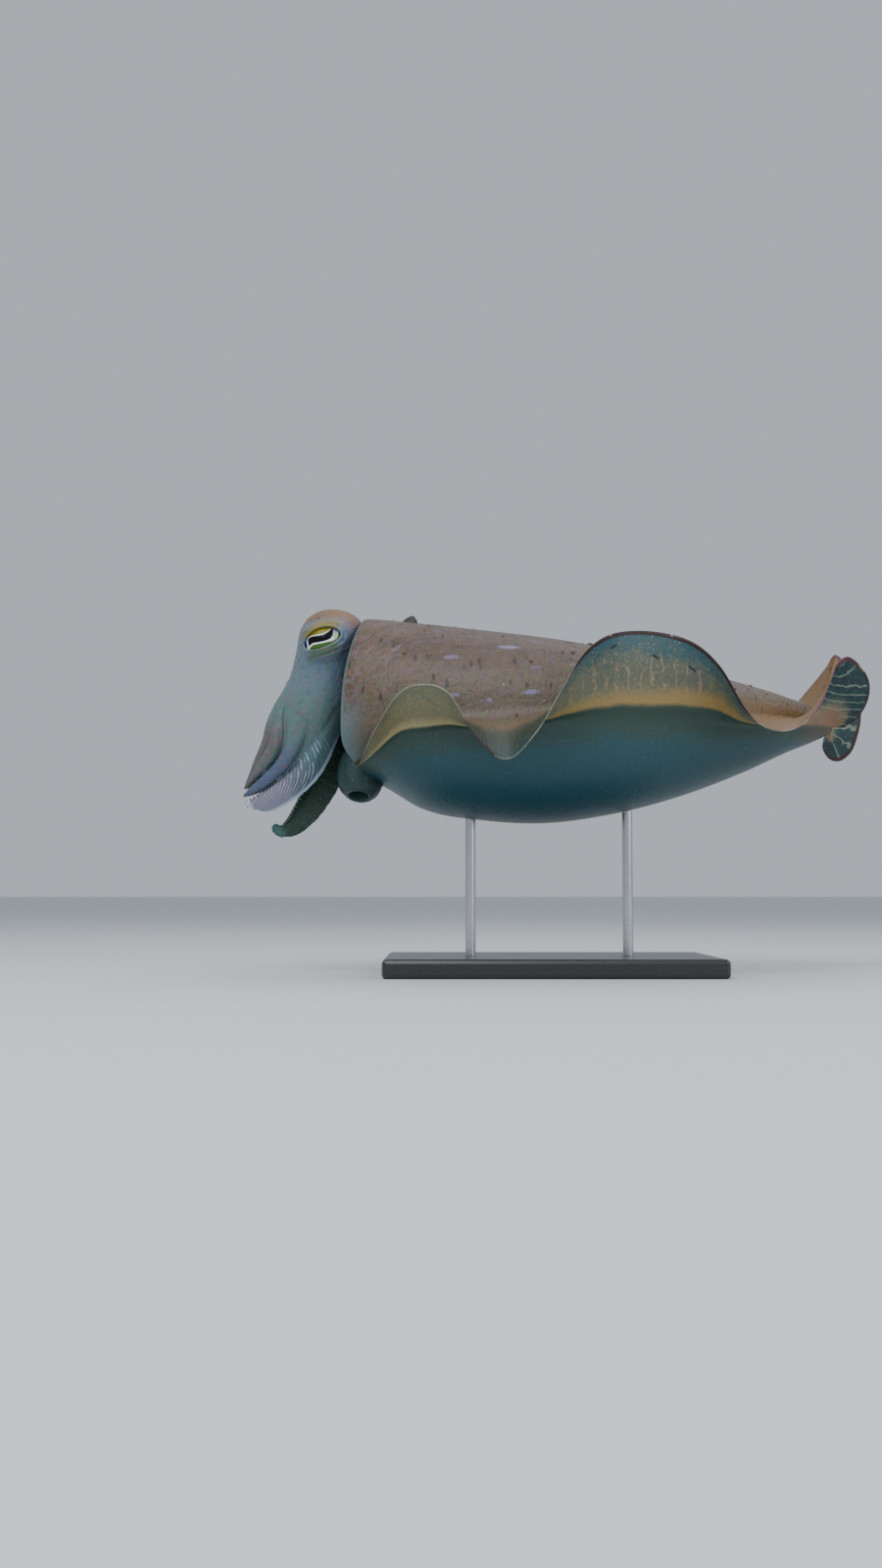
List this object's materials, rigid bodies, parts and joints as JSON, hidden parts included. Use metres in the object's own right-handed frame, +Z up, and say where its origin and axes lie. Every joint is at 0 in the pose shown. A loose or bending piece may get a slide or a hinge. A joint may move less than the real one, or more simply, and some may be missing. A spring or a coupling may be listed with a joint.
{
  "type": "broadclub cuttlefish",
  "caption": "Life-size cuttlefish in a still swimming pose, arms held together, fins rippling, on a flat display base with rods.",
  "frame": {"origin": "middle of the display base's underside", "axes": "+Z up, the head towards -X, the tail fins towards +X, the animal's left side towards -Y"},
  "size_m": [0.4852, 0.2824, 0.2788],
  "materials": {
    "mantle_skin": "soft satin skin",
    "head_skin": "soft satin skin",
    "arm_skin": "soft satin skin",
    "fin_skin": "thin moist skin",
    "funnel_skin": "soft satin skin",
    "eye": "wet gloss",
    "stand_base": "black satin paint",
    "stand_rod": "brushed"
  },
  "bodies": {
    "root": {"arm_1_left_root": "arm_skin", "arm_1_left_tip": "arm_skin", "arm_1_right_root": "arm_skin", "arm_1_right_tip": "arm_skin", "arm_2_left_root": "arm_skin", "arm_2_left_tip": "arm_skin", "arm_2_right_root": "arm_skin", "arm_2_right_tip": "arm_skin", "arm_3_left_root": "arm_skin", "arm_3_left_tip": "arm_skin", "arm_3_right_root": "arm_skin", "arm_3_right_tip": "arm_skin", "arm_4_left_root": "arm_skin", "arm_4_left_tip": "arm_skin", "arm_4_right_middle": "arm_skin", "arm_4_right_root": "arm_skin", "arm_4_right_tip": "arm_skin", "eye_left": "eye", "eye_right": "eye", "fin_left_front": "fin_skin", "fin_left_middle": "fin_skin", "fin_left_rear": "fin_skin", "fin_right_front": "fin_skin", "fin_right_middle": "fin_skin", "fin_right_rear": "fin_skin", "funnel": "funnel_skin", "head": "head_skin", "mantle": "mantle_skin", "stand_base": "stand_base", "stand_rod_front": "stand_rod", "stand_rod_rear": "stand_rod"}
  },
  "joints": []
}
